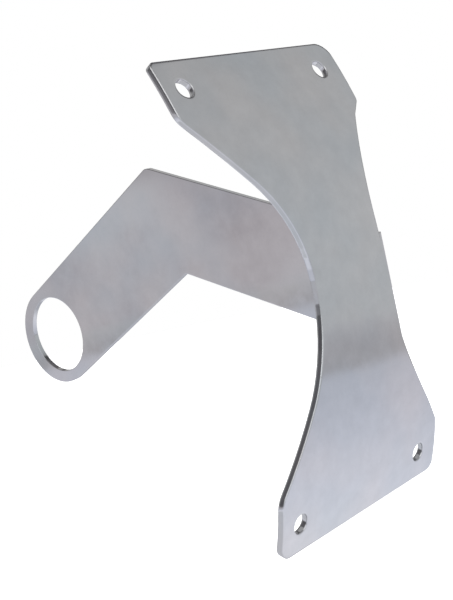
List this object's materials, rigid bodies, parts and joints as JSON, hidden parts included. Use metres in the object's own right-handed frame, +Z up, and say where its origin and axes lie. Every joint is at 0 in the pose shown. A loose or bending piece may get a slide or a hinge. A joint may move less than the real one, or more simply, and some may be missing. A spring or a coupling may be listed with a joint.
{
  "type": "license plate bracket",
  "caption": "Chromed steel side-mount license plate bracket: a bowed hourglass plate with corner bolt holes, folded at its waist into an elbowed arm with an axle eye.",
  "frame": {"origin": "centre of the axle hole, midway through the sheet", "axes": "+X along the axle hole's axis and the plate's width, towards the side the arm is on; +Y from the plate's front face back along the arm, so the plate faces -Y; +Z up"},
  "size_m": [0.0911, 0.2192, 0.1632],
  "materials": {
    "chrome": "bright chrome plating on steel sheet"
  },
  "bodies": {
    "root": {"bracket": "chrome"}
  },
  "joints": []
}
